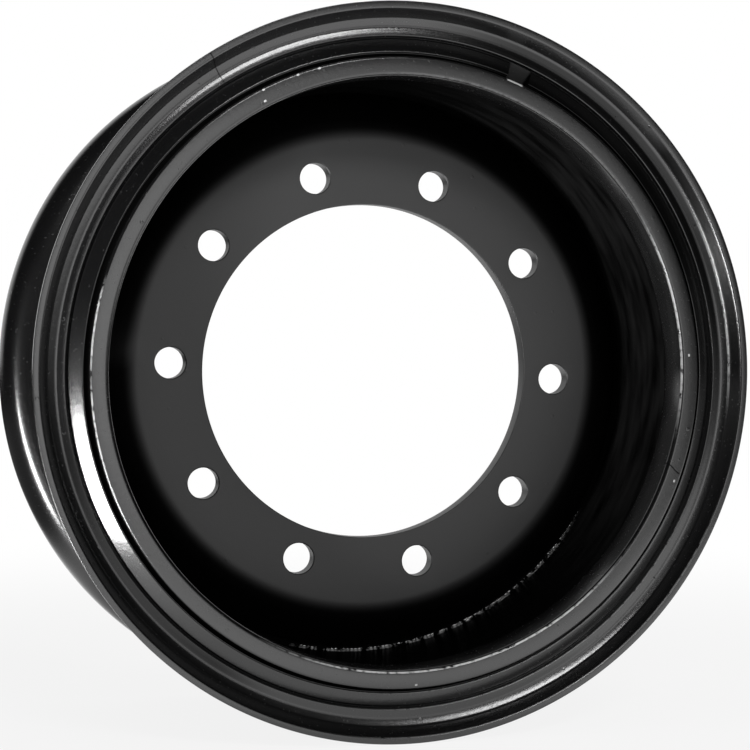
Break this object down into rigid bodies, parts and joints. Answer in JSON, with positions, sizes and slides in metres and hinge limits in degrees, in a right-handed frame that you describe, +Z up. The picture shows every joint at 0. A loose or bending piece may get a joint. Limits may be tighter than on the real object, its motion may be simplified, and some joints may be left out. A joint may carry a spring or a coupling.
{
  "type": "three-piece truck wheel",
  "caption": "Bare black steel truck wheel for tube tyres: a welded rim base and flat-centred disc, with a removable side ring held by a split lock ring.",
  "frame": {"origin": "centre of the rim, on the spin axis midway between the tips of the two flanges", "axes": "+Y along the spin axis towards the hub side, -Y out of the lock-ring side, +Z up"},
  "size_m": [0.5863, 0.263, 0.5864],
  "materials": {
    "rim_paint": "satin black paint on rolled steel",
    "ring_paint": "satin black paint on rolled steel rings",
    "disc_paint": "flat black paint on pressed steel plate",
    "weld_paint": "black paint over a rippled weld bead"
  },
  "bodies": {
    "root": {"rim_base": "rim_paint", "side_ring": "ring_paint", "lock_ring": "ring_paint", "disc": "disc_paint", "front_weld": "weld_paint"}
  },
  "joints": []
}
